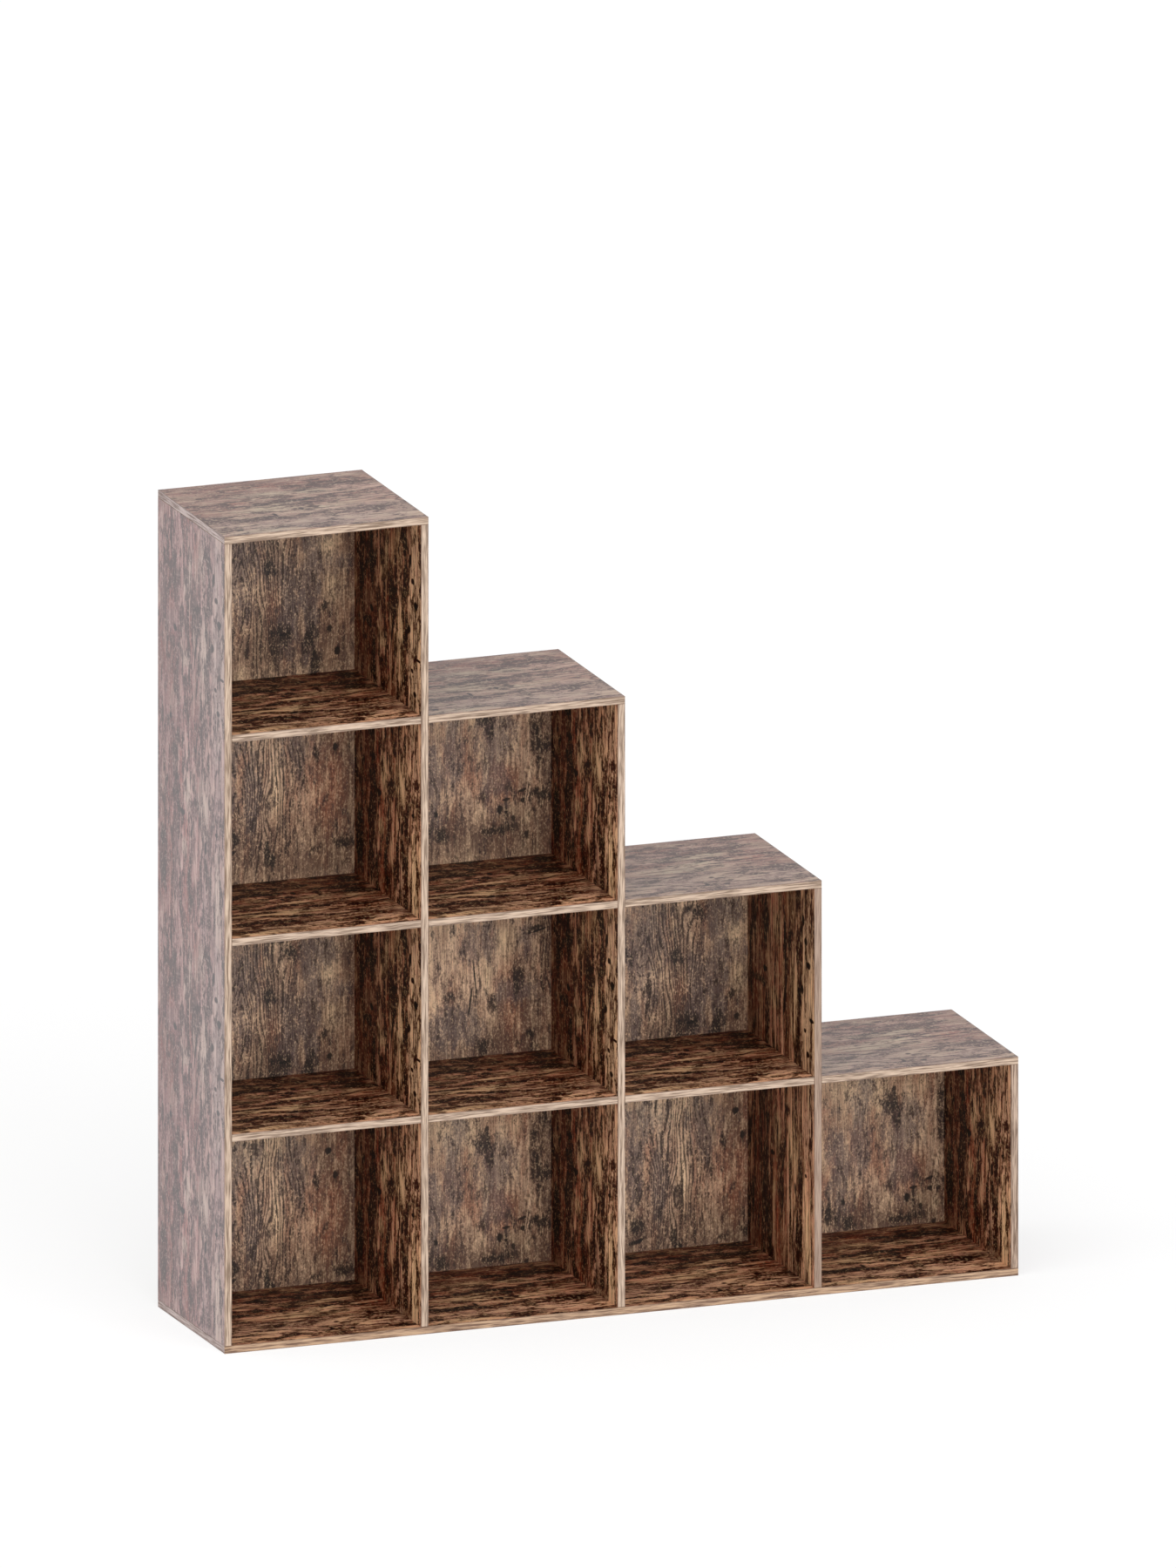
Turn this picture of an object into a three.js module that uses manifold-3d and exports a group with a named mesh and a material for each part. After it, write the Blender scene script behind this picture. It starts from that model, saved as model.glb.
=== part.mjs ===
// A staircase bookshelf: four columns of open cubbies, four high at the left and one high at the right.
// Flat-pack construction in 12 mm board. The uprights stand on one long base board, a top board closes
// each column, and thin back panels are nailed on behind. Each shelf end and each upright's top has a
// cam connector at the middle of its depth and two glued dowels. Each upright's foot has two dowels
// and a screw from below.
// Millimetres. +X is right, +Y is the rear, +Z is up, and the origin is on the floor, at the middle
// of the width and of the depth.
import * as THREE from "three";
import { mergeVertices } from "three/addons/utils/BufferGeometryUtils.js";
import Module from "manifold-3d";

const wasm = await Module();
wasm.setup();

// Carcass
const COLUMNS = 4;
const ROWS = 4; // in the tallest column
const CUBBY_WIDTH = 307.5; // clear width between two uprights
const CUBBY_HEIGHT = 307.5; // clear height of a row, on average
const LEVEL_1_RISE = 14; // how far the boards at each level sit above an even division of the height
const LEVEL_2_RISE = 3.5;
const LEVEL_3_RISE = 5.5;
const CARCASS_DEPTH = 290;
const BOARD = 12; // thickness of every carcass board
const JOINT_GAP = 0.2; // hairline between two boards that meet

// Back panels
const BACK_THICKNESS = 2.5;
const BACK_INSET = 2; // from the carcass's outer edges
const BACK_SEAM = 1; // between two panels, on the edge of the upright that both are nailed to

// Fit
const CLEARANCE = 0.3; // round a fitting in its bore
const OVERRUN = 1; // how far a cutting tool runs past the face that it cuts

// Dowels
const DOWEL_RADIUS = 3;
const DOWEL_OUT = 8; // how far it stands out of the end that it is glued in
const DOWEL_TIP = 0.8; // chamfer at its tip
const DOWEL_REACH = 96; // from the middle of the depth to the far dowel of a shelf's end
const DOWEL_STAGGER = 32; // so that dowels from both sides miss each other in one upright
const END_DOWEL_REACH = 80; // from the middle of the depth to each dowel of an upright's end

// Cam connectors
const CAM_SETBACK = 24; // from the board's end to the cam's centre
const CAM_RADIUS = 6;
const CAM_FLOOR = 2; // board left under the cam's bore
const CAM_RECESS = 0.2; // the cam's face below the board's face
const RECESS_LENGTH = 7; // cross recess for the screwdriver
const RECESS_WIDTH = 1.4;
const RECESS_DEPTH = 1.2;

// Cam bolts
const STEM_RADIUS = 2;
const HEAD_RADIUS = 3;
const HEAD_LENGTH = 5;
const HEAD_BEVEL = 1.2;
const COLLAR_RADIUS = 3.2;
const COLLAR_LENGTH = 2;
const THREAD_RADIUS = 2.5;
const THREAD_LENGTH = 8.5;
const THREAD_BEVEL = 1;

// Base screws
const SCREW_LENGTH = 35;
const SCREW_RADIUS = 2;
const SCREW_HEAD_RADIUS = 4;
const SCREW_HEAD_LENGTH = 2.6;
const SCREW_TIP = 4;
const SCREW_RECESS_LENGTH = 4.4;
const SCREW_RECESS_WIDTH = 1;
const SCREW_RECESS_DEPTH = 1.4;

// Sides of the round pieces
const ROD_SIDES = 8;
const CAM_SIDES = 16;

// Places
const rises = [0, LEVEL_1_RISE, LEVEL_2_RISE, LEVEL_3_RISE, 0];
const pitch = CUBBY_WIDTH + BOARD;
const width = COLUMNS * pitch + BOARD;
const left = -width / 2;
const front = -(CARCASS_DEPTH + JOINT_GAP + BACK_THICKNESS) / 2;
const rear = front + CARCASS_DEPTH;
const middle = (front + rear) / 2;
const holeRadius = DOWEL_RADIUS + CLEARANCE;
const boltBore = COLLAR_RADIUS + CLEARANCE;
const camBore = CAM_RADIUS + CLEARANCE;

// Underside of the boards at a level. Level 0 is the base board, and level ROWS is the highest top board.
const levelZ = (level) => level * (CUBBY_HEIGHT + BOARD) + rises[level];
// Left face of upright 0 to COLUMNS. Uprights 0 and COLUMNS are the side boards.
const uprightX = (index) => left + index * pitch;
// How many cubbies stand in column 1 to COLUMNS.
const rowsIn = (column) => ROWS - column + 1;
// How many rows upright 0 to COLUMNS is tall: the outer left side is as tall as the first column.
const rowsAt = (index) => rowsIn(Math.max(index, 1));
const uprightName = (index) => {
  if (index === 0) return "left_side";
  return index === COLUMNS ? "right_side" : "upright_" + index;
};

const finish = (color, roughness, metalness = 0) =>
  new THREE.MeshStandardMaterial({ color, roughness, metalness });
const laminate = finish(0x6f5643, 0.55);
const printedBack = finish(0x75604c, 0.7);
const zinc = finish(0xb4b6b8, 0.45, 0.9);
const steel = finish(0xa9a59a, 0.35, 0.9);

// Solids

function solidOf(geometry) {
  const bare = geometry.index ? geometry.clone() : mergeVertices(geometry);
  bare.deleteAttribute("normal");
  bare.deleteAttribute("uv");
  const merged = mergeVertices(bare);
  return new wasm.Manifold(
    new wasm.Mesh({
      numProp: 3,
      vertProperties: merged.attributes.position.array,
      triVerts: new Uint32Array(merged.index.array),
    }),
  );
}

function geometryOf(solid) {
  const mesh = solid.getMesh();
  const geometry = new THREE.BufferGeometry();
  geometry.setAttribute("position", new THREE.BufferAttribute(mesh.vertProperties, 3));
  geometry.setIndex(new THREE.BufferAttribute(mesh.triVerts, 1));
  const flat = geometry.toNonIndexed();
  flat.computeVertexNormals();
  return flat;
}

function box(low, high) {
  const size = new THREE.Vector3().subVectors(high, low);
  const centre = new THREE.Vector3().addVectors(low, high).multiplyScalar(0.5);
  return new THREE.BoxGeometry(size.x, size.y, size.z).translate(centre.x, centre.y, centre.z);
}

const point = (x, y, z) => new THREE.Vector3(x, y, z);

// A turned piece on the local x axis. Its profile is a list of [place along x, radius], with x falling.
function turned(profile, sides = ROD_SIDES) {
  const outline = profile.map(([along, radius]) => new THREE.Vector2(radius, along));
  return new THREE.LatheGeometry(outline.reverse(), sides).rotateZ(-Math.PI / 2);
}

// A plain rod on the local x axis, between two places.
const rod = (from, to, radius, sides = ROD_SIDES) =>
  turned([[to, 0], [to, radius], [from, radius], [from, 0]], sides);

// A plain rod parallel to the local z axis, between two heights at one place.
const post = (x, from, to, radius) =>
  rod(from, to, radius, CAM_SIDES).rotateY(-Math.PI / 2).translate(x, 0, 0);

// A cross recess cut into a face at height z of a cam whose axis is at x.
function crossRecess(x, z, length, breadth, depth) {
  const bars = [[length, breadth], [breadth, length]];
  return bars.map(([along, across]) =>
    box(point(x - along / 2, -across / 2, z - depth), point(x + along / 2, across / 2, z + depth)),
  );
}

// Joints. The end of one board meets the face of another. A joint's own frame has its origin on that
// face, at the middle of the depth and of the end board's thickness. Its x axis runs into the end
// board and its y axis to the rear. The cam opens on the side that camSide names along z.

function frameAt(origin, into) {
  const depth = point(0, 1, 0);
  const across = new THREE.Vector3().crossVectors(into, depth);
  return new THREE.Matrix4().makeBasis(into, depth, across).setPosition(origin);
}

const RIGHT = point(1, 0, 0);
const LEFT = point(-1, 0, 0);
const UP = point(0, 0, 1);
const DOWN = point(0, 0, -1);

// Where a shelf or top board in a column meets the upright on one side of it. Its cam opens downwards.
function shelfEnd(column, level, into) {
  const x = into === RIGHT ? uprightX(column - 1) + BOARD : uprightX(column);
  const stagger = into === RIGHT ? 0 : DOWEL_STAGGER;
  return {
    frame: frameAt(point(x, middle, levelZ(level) + BOARD / 2), into),
    dowels: [stagger - DOWEL_REACH, stagger + DOWEL_REACH - DOWEL_STAGGER],
    camSide: into === RIGHT ? -1 : 1,
  };
}

// Where an upright meets the top board above it, or the base board below it. Its cam opens to the right.
function uprightEnd(index, into) {
  const z = into === DOWN ? levelZ(rowsAt(index)) : BOARD;
  return {
    frame: frameAt(point(uprightX(index) + BOARD / 2, middle, z), into),
    dowels: [-END_DOWEL_REACH, END_DOWEL_REACH],
    camSide: 1,
  };
}

const placed = (joint, geometry) => solidOf(geometry.applyMatrix4(joint.frame));

const dowelHoles = (joint) =>
  joint.dowels.map((y) =>
    placed(joint, rod(-DOWEL_OUT - CLEARANCE, OVERRUN, holeRadius).translate(0, y, 0)),
  );

const glueDowels = (board, joint) =>
  joint.dowels.reduce((solid, y) => {
    const profile = [
      [JOINT_GAP + OVERRUN, 0],
      [JOINT_GAP + OVERRUN, DOWEL_RADIUS],
      [DOWEL_TIP - DOWEL_OUT, DOWEL_RADIUS],
      [-DOWEL_OUT, DOWEL_RADIUS - DOWEL_TIP],
      [-DOWEL_OUT, 0],
    ];
    return solid.add(placed(joint, turned(profile).translate(0, y, 0)));
  }, board);

const cutAll = (board, tools) => tools.reduce((solid, tool) => solid.subtract(tool), board);

// Bores in the end board: one along it for the bolt, and one across it for the cam.
function camBores(joint) {
  const face = joint.camSide * (BOARD / 2 + OVERRUN);
  const floor = joint.camSide * (CAM_FLOOR - BOARD / 2);
  return [
    placed(joint, rod(-OVERRUN, CAM_SETBACK, boltBore)),
    placed(joint, post(CAM_SETBACK, Math.min(face, floor), Math.max(face, floor), camBore)),
  ];
}

const pilotHole = (joint) =>
  placed(joint, rod(-THREAD_LENGTH - CLEARANCE, OVERRUN, THREAD_RADIUS + CLEARANCE));
const throughHole = (joint) => placed(joint, rod(-BOARD - OVERRUN, OVERRUN, boltBore));
const screwPilot = (joint) =>
  placed(joint, rod(-OVERRUN, SCREW_LENGTH - BOARD + OVERRUN, SCREW_RADIUS + CLEARANCE));

// The base board's hole for a screw from below, with its countersink.
function screwHole(joint) {
  const shank = SCREW_RADIUS + CLEARANCE;
  const sink = SCREW_HEAD_RADIUS + CLEARANCE;
  const profile = [
    [OVERRUN, 0],
    [OVERRUN, shank],
    [SCREW_HEAD_LENGTH + 2 * CLEARANCE - BOARD, shank],
    [2 * CLEARANCE - BOARD, sink],
    [-BOARD - OVERRUN, sink],
    [-BOARD - OVERRUN, 0],
  ];
  return placed(joint, turned(profile));
}

// Fittings, each in its joint's own frame

function cam(joint) {
  const face = BOARD / 2 - CAM_RECESS;
  const floor = CAM_FLOOR + CLEARANCE - BOARD / 2;
  const pocket = HEAD_RADIUS + 2 * CLEARANCE;
  const slot = STEM_RADIUS + 2 * CLEARANCE;
  const below = floor - OVERRUN;
  const rim = CAM_SETBACK - CAM_RADIUS - OVERRUN;
  const cuts = [
    post(CAM_SETBACK, below, pocket, pocket),
    box(point(rim, -slot, below), point(CAM_SETBACK, slot, pocket)),
    ...crossRecess(CAM_SETBACK, face, RECESS_LENGTH, RECESS_WIDTH, RECESS_DEPTH),
  ];
  const disc = solidOf(post(CAM_SETBACK, floor, face, CAM_RADIUS));
  const facingUp = geometryOf(cutAll(disc, cuts.map(solidOf)));
  return joint.camSide > 0 ? facingUp : facingUp.rotateX(Math.PI);
}

// The half of a bolt that reaches from a board's end into the cam, as a profile with x falling.
const boltHead = () => {
  const tip = CAM_SETBACK + HEAD_LENGTH / 2;
  const neck = CAM_SETBACK - HEAD_LENGTH / 2;
  const collar = JOINT_GAP + CLEARANCE + COLLAR_LENGTH;
  return [
    [tip, 0],
    [tip, HEAD_RADIUS - HEAD_BEVEL],
    [tip - HEAD_BEVEL, HEAD_RADIUS],
    [neck + HEAD_BEVEL, HEAD_RADIUS],
    [neck, STEM_RADIUS],
    [collar, STEM_RADIUS],
    [collar, COLLAR_RADIUS],
  ];
};

const bolt = () =>
  turned([
    ...boltHead(),
    [JOINT_GAP, COLLAR_RADIUS],
    [JOINT_GAP, THREAD_RADIUS],
    [THREAD_BEVEL - THREAD_LENGTH, THREAD_RADIUS],
    [-THREAD_LENGTH, THREAD_RADIUS - THREAD_BEVEL],
    [-THREAD_LENGTH, 0],
  ]);

// A bolt with a head at both ends, through an upright. It joins the boards on the two sides.
const twinBolt = () => {
  const half = boltHead();
  const mirrored = half.map(([along, radius]) => [-BOARD - along, radius]).reverse();
  return turned([...half, ...mirrored]);
};

function baseScrew() {
  const head = JOINT_GAP - BOARD;
  const tip = head + SCREW_LENGTH;
  const shank = solidOf(
    turned([
      [tip, 0],
      [tip - SCREW_TIP, SCREW_RADIUS],
      [head + SCREW_HEAD_LENGTH, SCREW_RADIUS],
      [head, SCREW_HEAD_RADIUS],
      [head, 0],
    ]),
  );
  const recess = crossRecess(0, head, SCREW_RECESS_LENGTH, SCREW_RECESS_WIDTH, SCREW_RECESS_DEPTH);
  return geometryOf(cutAll(shank, recess.map((bar) => solidOf(bar.rotateY(Math.PI / 2)))));
}

// Scene

const bookshelf = new THREE.Group();

// A board as a mesh at its own centre.
function addBoard(name, solid, material = laminate) {
  const geometry = geometryOf(solid);
  geometry.computeBoundingBox();
  const centre = geometry.boundingBox.getCenter(new THREE.Vector3());
  geometry.translate(-centre.x, -centre.y, -centre.z);
  const board = new THREE.Mesh(geometry, material);
  board.name = name;
  board.position.copy(centre);
  bookshelf.add(board);
}

// A joint's fittings, in a group that stands at the joint.
function addFittings(joint, fittings) {
  const group = new THREE.Group();
  joint.frame.decompose(group.position, group.quaternion, group.scale);
  for (const [name, geometry, material] of fittings) {
    const fitting = new THREE.Mesh(geometry, material);
    fitting.name = name;
    group.add(fitting);
  }
  bookshelf.add(group);
}

const carcassBox = (x0, x1, z0, z1) => solidOf(box(point(x0, front, z0), point(x1, rear, z1)));

// Whether a board at a level, below the top of the upright, meets it from its left or from its right.
const boardOnLeft = (index, level) => index > 0 && level < rowsAt(index);
const boardOnRight = (index, level) =>
  index < COLUMNS && level < rowsAt(index) && level <= rowsIn(index + 1);

function addUpright(index) {
  const rows = rowsAt(index);
  const x = uprightX(index);
  const top = uprightEnd(index, DOWN);
  const foot = uprightEnd(index, UP);
  const tools = [...camBores(top), screwPilot(foot)];
  for (let level = 1; level < rows; level += 1) {
    if (boardOnLeft(index, level)) {
      const end = shelfEnd(index, level, LEFT);
      tools.push(...dowelHoles(end), throughHole(end));
    }
    if (boardOnRight(index, level)) {
      const end = shelfEnd(index + 1, level, RIGHT);
      tools.push(...dowelHoles(end));
      if (index === 0) tools.push(pilotHole(end));
    }
  }
  const body = carcassBox(x, x + BOARD, BOARD + JOINT_GAP, levelZ(rows) - JOINT_GAP);
  const drilled = cutAll(body, tools);
  const name = uprightName(index) + (index === 0 || index === COLUMNS ? "_board" : "");
  addBoard(name, glueDowels(glueDowels(drilled, top), foot));
  addFittings(top, [
    ["cam_" + uprightName(index) + "_top", cam(top), zinc],
    ["cam_bolt_" + uprightName(index) + "_top", bolt(), steel],
  ]);
  addFittings(foot, [["base_screw_" + uprightName(index), baseScrew(), steel]]);
}

// A board between two uprights at one level: a shelf, with rows above it, or a column's top board.
function addLevelBoard(column, level) {
  const isTop = level === rowsIn(column);
  const overLeft = isTop && column === 1;
  const x0 = overLeft ? uprightX(0) : uprightX(column - 1) + BOARD + JOINT_GAP;
  const x1 = isTop ? uprightX(column) + BOARD : uprightX(column) - JOINT_GAP;
  const ends = [];
  if (!overLeft) ends.push(["left", shelfEnd(column, level, RIGHT)]);
  if (!isTop) ends.push(["right", shelfEnd(column, level, LEFT)]);
  const seats = [];
  if (overLeft) seats.push(uprightEnd(0, DOWN));
  if (isTop) seats.push(uprightEnd(column, DOWN));
  const tools = [
    ...ends.flatMap(([, end]) => camBores(end)),
    ...seats.flatMap((seat) => [pilotHole(seat), ...dowelHoles(seat)]),
  ];
  const drilled = cutAll(carcassBox(x0, x1, levelZ(level), levelZ(level) + BOARD), tools);
  const name = isTop ? "top_board_column_" + column : "shelf_column_" + column + "_level_" + level;
  addBoard(name, ends.reduce((board, [, end]) => glueDowels(board, end), drilled));
  for (const [side, end] of ends)
    addFittings(end, [["cam_" + name + "_" + side, cam(end), zinc]]);
}

// The bolts of the shelf ends: plain ones in the left side board, twin ones through the uprights.
function addShelfBolts() {
  for (let level = 1; level < ROWS; level += 1) {
    addFittings(shelfEnd(1, level, RIGHT), [["cam_bolt_left_side_level_" + level, bolt(), steel]]);
    for (let index = 1; boardOnRight(index, level); index += 1)
      addFittings(shelfEnd(index + 1, level, RIGHT), [
        ["twin_bolt_" + uprightName(index) + "_level_" + level, twinBolt(), steel],
      ]);
  }
}

function addBase() {
  const tools = [];
  for (let index = 0; index <= COLUMNS; index += 1) {
    const foot = uprightEnd(index, UP);
    tools.push(screwHole(foot), ...dowelHoles(foot));
  }
  addBoard("base_board", cutAll(carcassBox(left, left + width, 0, BOARD), tools));
}

// One back panel behind each column, from the base board's edge to the top board's.
function addBack(column) {
  const seam = BACK_SEAM / 2;
  const x0 = column === 1 ? left + BACK_INSET : uprightX(column - 1) + BOARD / 2 + seam;
  const x1 = column === COLUMNS ? left + width - BACK_INSET : uprightX(column) + BOARD / 2 - seam;
  const z1 = levelZ(rowsIn(column)) + BOARD - BACK_INSET;
  const y0 = rear + JOINT_GAP;
  const panel = box(point(x0, y0, BACK_INSET), point(x1, y0 + BACK_THICKNESS, z1));
  addBoard("back_panel_column_" + column, solidOf(panel), printedBack);
}

addBase();
for (let index = 0; index <= COLUMNS; index += 1) addUpright(index);
for (let column = 1; column <= COLUMNS; column += 1) {
  for (let level = 1; level <= rowsIn(column); level += 1) addLevelBoard(column, level);
  addBack(column);
}
addShelfBolts();

export default bookshelf;
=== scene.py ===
import math

import bmesh
import bpy
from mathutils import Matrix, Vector


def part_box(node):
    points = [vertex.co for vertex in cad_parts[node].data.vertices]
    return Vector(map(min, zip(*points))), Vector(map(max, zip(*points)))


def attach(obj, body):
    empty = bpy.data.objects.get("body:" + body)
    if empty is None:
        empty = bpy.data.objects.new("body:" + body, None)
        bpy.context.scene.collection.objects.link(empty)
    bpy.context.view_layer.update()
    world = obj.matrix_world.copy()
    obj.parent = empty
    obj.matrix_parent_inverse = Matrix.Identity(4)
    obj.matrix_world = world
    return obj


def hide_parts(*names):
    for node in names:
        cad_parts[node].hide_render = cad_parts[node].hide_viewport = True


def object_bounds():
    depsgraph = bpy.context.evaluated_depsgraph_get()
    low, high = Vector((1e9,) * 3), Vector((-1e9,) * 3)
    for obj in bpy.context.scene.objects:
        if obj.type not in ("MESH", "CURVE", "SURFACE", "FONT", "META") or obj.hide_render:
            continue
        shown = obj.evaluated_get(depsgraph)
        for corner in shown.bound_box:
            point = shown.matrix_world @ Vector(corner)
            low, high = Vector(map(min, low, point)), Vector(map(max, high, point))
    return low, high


# A staircase bookshelf in thin wood-print board. Each board gets its printed foil, its ironed-on edge bands
# and its raw bores, each back panel its print, its raw rear and its nails, and each fitting its metal.
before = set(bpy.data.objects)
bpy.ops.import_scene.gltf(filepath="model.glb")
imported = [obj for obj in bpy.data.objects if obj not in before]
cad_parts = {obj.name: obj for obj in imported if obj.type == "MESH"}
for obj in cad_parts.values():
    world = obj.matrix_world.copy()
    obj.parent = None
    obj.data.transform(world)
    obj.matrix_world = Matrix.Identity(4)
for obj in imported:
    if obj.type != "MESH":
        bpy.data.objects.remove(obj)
cad_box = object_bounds()

MM = 0.001
PRINT_MAP = "print"  # UV map in metres: u across the grain, v along it
WELD = 0.002 * MM
FLAT = 0.5  # degrees between faces up to which they are one
SHARP = 1.0  # radians between faces from which their edge is eased
FRONT, REAR = cad_box[0].y, cad_box[1].y
LEFT = cad_box[0].x

# Boards and their edge bands
BAND_THICKNESS = 0.8 * MM
BAND_WIDTH = 12 * MM
BAND_ROUND = 0.45 * MM
BAND_OFFSETS = (7.3, 3.1)  # each band begins at another place of the edging, by where its board lies
BOARD_ROUND = 0.3 * MM
LARGE_FACE = 300 * MM * MM  # smaller faces belong to bores and dowels
FAR_SIDE_OF_PRINT = 235 * MM  # a board's other face shows another stretch of the print

# Back panels and their nails
REAR_SKIN = 0.4 * MM  # a panel's rear lies this much inside the box, so that nail heads stand on it
NAIL_SPACING = 95 * MM
NAIL_EDGE = 3 * MM
NAIL_HEAD = 1.7 * MM
NAIL_HEIGHT = 0.36 * MM
NAIL_SUNK = 0.02 * MM
NAIL_CHAMFER = 0.72  # a head's flat top, as a share of its radius
NAIL_SIDES = 14
NAIL_STRAY = 1.2 * MM
NAIL_SEED = 7

# Cover caps
CAP_RADIUS = 6.2 * MM
CAP_GAP = 0.02 * MM
CAP_EASE = 0.93  # its flat top, as a share of its radius
CAP_SIDES = 32

# Photograph
PHOTO_WIDTH, PHOTO_HEIGHT = 1350, 1800
PIXELS_PER_METRE = 754.11
ORIGIN_PIXEL = (674.8, 1481.9)  # where the middle of the base falls in the photograph
CAMERA_AZIMUTH = -20.493
CAMERA_ELEVATION = 15.376
CAMERA_DISTANCE = 9.0
CAMERA_REACH = 60.0

# Light: soft glows in the surround, each with its azimuth and elevation from the shelf's front, the cosines
# from its middle at which it starts and is full, and its strength
GLOWS = ((-45.0, 30.0, 0.0, 0.9, 1.35), (10.0, 0.0, 0.75, 0.97, 3.4))
AMBIENT = 0.28
FLOOR_SIZE = 40.0
FLOOR_GAP = 0.2 * MM
# The floor as the camera sees it, white round the shadow, and as it lights the shelf
FLOOR_SHOWN_PAINT, FLOOR_BOUNCE_PAINT = "#a0a0a0", "#bfbfbf"
FLOOR_SHOWN_GLOW, FLOOR_BOUNCE_GLOW = 0.68, 0.55

# The prints. Each repeats like a sheet off a printing cylinder, by these mm across the grain and along it.
# Marks are listed in mm: across the grain, along it, half width, half length and tilt in degrees.
UPRIGHT_REPEAT = BASE_REPEAT = (1240, 630)
SHELF_REPEAT = (1240, 1260)
BACK_REPEAT = (661.7, 675.7)
TOP_PRINT_START = {1: 325, 2: 340, 3: 42, 4: 42}  # where on the base board's print a top board begins

UPRIGHT_MARKS = {
    # Painted light: paler near the board's front edge, as where more light falls in at the front
    "painted_front_light": ((50, 160, 48, 240), (50, 480, 48, 240)),
    # Darker bands of the print, and painted shade towards the board's rear edge
    "printed_and_painted_shade": (
        (66, 570, 11, 130), (62, 110, 11, 110), (212, 150, 16, 220), (212, 520, 14, 160),
        (283, 60, 24, 240), (280, 340, 24, 240), (270, 560, 20, 120), (248, 320, 24, 500),
        (124, 420, 6, 150), (140, 120, 8, 110), (250, 420, 12, 90), (110, 560, 8, 60),
    ),
    "rust": (
        (235, 520, 12, 55), (160, 60, 16, 50), (172, 150, 12, 30), (235, 110, 12, 110),
        (262, 180, 10, 40), (228, 400, 14, 60), (262, 420, 12, 30), (122, 600, 10, 30), (275, 60, 10, 50),
        (150, 505, 9, 40), (190, 240, 8, 30),
    ),
    "pale": (
        (90, 445, 18, 55), (92, 208, 20, 36), (175, 425, 16, 12), (160, 215, 14, 26), (128, 480, 7, 30),
        (25, 450, 26, 120), (100, 588, 14, 24), (280, 490, 8, 10), (176, 128, 9, 14), (28, 60, 14, 60),
        (150, 558, 6, 40), (165, 540, 10, 20),
    ),
    "grey": (
        (26, 420, 22, 130), (30, 580, 20, 60), (25, 250, 20, 40), (285, 90, 8, 30), (240, 470, 24, 14),
        (88, 40, 12, 30),
    ),
    "dark": (
        (68, 535, 12, 30), (107, 538, 9, 24), (126, 525, 8, 30), (117, 487, 6, 24), (135, 190, 12, 22),
        (141, 130, 8, 28), (207, 231, 13, 6), (213, 110, 12, 85), (212, 545, 11, 38), (62, 170, 8, 45),
        (66, 78, 11, 34), (104, 85, 6, 30), (62, 365, 8, 32), (284, 190, 12, 28), (262, 520, 12, 38),
        (270, 95, 10, 32), (113, 262, 7, 11), (72, 605, 9, 24), (235, 440, 24, 7), (160, 330, 8, 22),
        (205, 380, 8, 40), (63, 470, 5, 26), (20, 232, 12, 9), (215, 270, 10, 10), (185, 20, 12, 14),
    ),
    "knot": (
        (25, 514, 8, 6), (38, 549, 7, 5), (48, 580, 5, 9), (52, 470, 6, 7), (28, 373, 7, 5),
        (12, 430, 9, 3), (84, 147, 5, 10), (37, 179, 5, 3), (181, 180, 9, 4), (215, 462, 8, 5),
        (128, 440, 2.6, 34, 12), (121, 388, 2, 20, 10), (122, 300, 2, 26, 12), (235, 318, 5, 5),
        (140, 165, 3, 16, 20), (40, 408, 5, 4),
    ),
}
BASE_MARKS = {
    # Painted light: paler near the board's front edge
    "painted_front_light": ((60, 150, 50, 260), (60, 480, 50, 260)),
    # Darker bands of the print, and painted shade towards the board's rear edge
    "printed_and_painted_shade": (
        (228, 240, 14, 240), (232, 580, 12, 120), (228, 20, 14, 60), (278, 120, 24, 260),
        (276, 440, 24, 260), (172, 150, 8, 70), (160, 500, 8, 60), (80, 420, 10, 90), (85, 600, 10, 70),
        (25, 300, 9, 60), (180, 340, 6, 60),
    ),
    "rust": (
        (240, 60, 14, 60), (250, 170, 10, 30), (250, 480, 12, 60), (232, 555, 8, 30), (165, 130, 9, 26),
        (175, 415, 6, 18), (250, 590, 10, 30), (215, 250, 6, 30), (160, 300, 10, 20), (120, 60, 8, 40),
    ),
    "pale": (
        (200, 250, 10, 24), (190, 205, 10, 40), (205, 462, 9, 40), (155, 215, 7, 30), (110, 520, 8, 22),
        (265, 130, 12, 14), (270, 100, 8, 20), (200, 545, 10, 26), (130, 180, 14, 50), (150, 470, 8, 18),
        (130, 440, 14, 40), (15, 400, 10, 50),
    ),
    "grey": (
        (70, 130, 30, 90), (40, 480, 26, 90), (78, 405, 14, 40), (90, 590, 14, 40), (30, 260, 20, 50),
        (70, 330, 30, 40),
    ),
    "dark": (
        (222, 135, 10, 18), (232, 215, 6, 60), (226, 297, 9, 22), (250, 266, 7, 8), (237, 511, 6, 9),
        (235, 590, 9, 34), (163, 492, 6, 14), (158, 474, 5, 10), (145, 512, 7, 9), (176, 182, 4, 16),
        (176, 120, 7, 12), (162, 147, 6, 14), (195, 590, 6, 20), (78, 405, 8, 30), (80, 590, 8, 30),
        (105, 276, 9, 5), (27, 122, 8, 16), (22, 300, 9, 14), (12, 485, 8, 20), (170, 268, 5, 8),
        (215, 20, 9, 24), (278, 300, 8, 14), (60, 515, 8, 12), (240, 10, 10, 20), (28, 340, 6, 14),
        (180, 335, 4, 20),
    ),
    "knot": (
        (210, 525, 3, 10), (92, 442, 9, 3.5), (75, 210, 4, 5), (38, 190, 6, 3.5), (34, 220, 4, 5),
        (28, 362, 4, 5), (166, 235, 2, 26, -20), (162, 520, 2, 22, -14), (150, 445, 2, 14),
        (255, 126, 4, 6), (112, 492, 5, 4),
    ),
}
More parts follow.
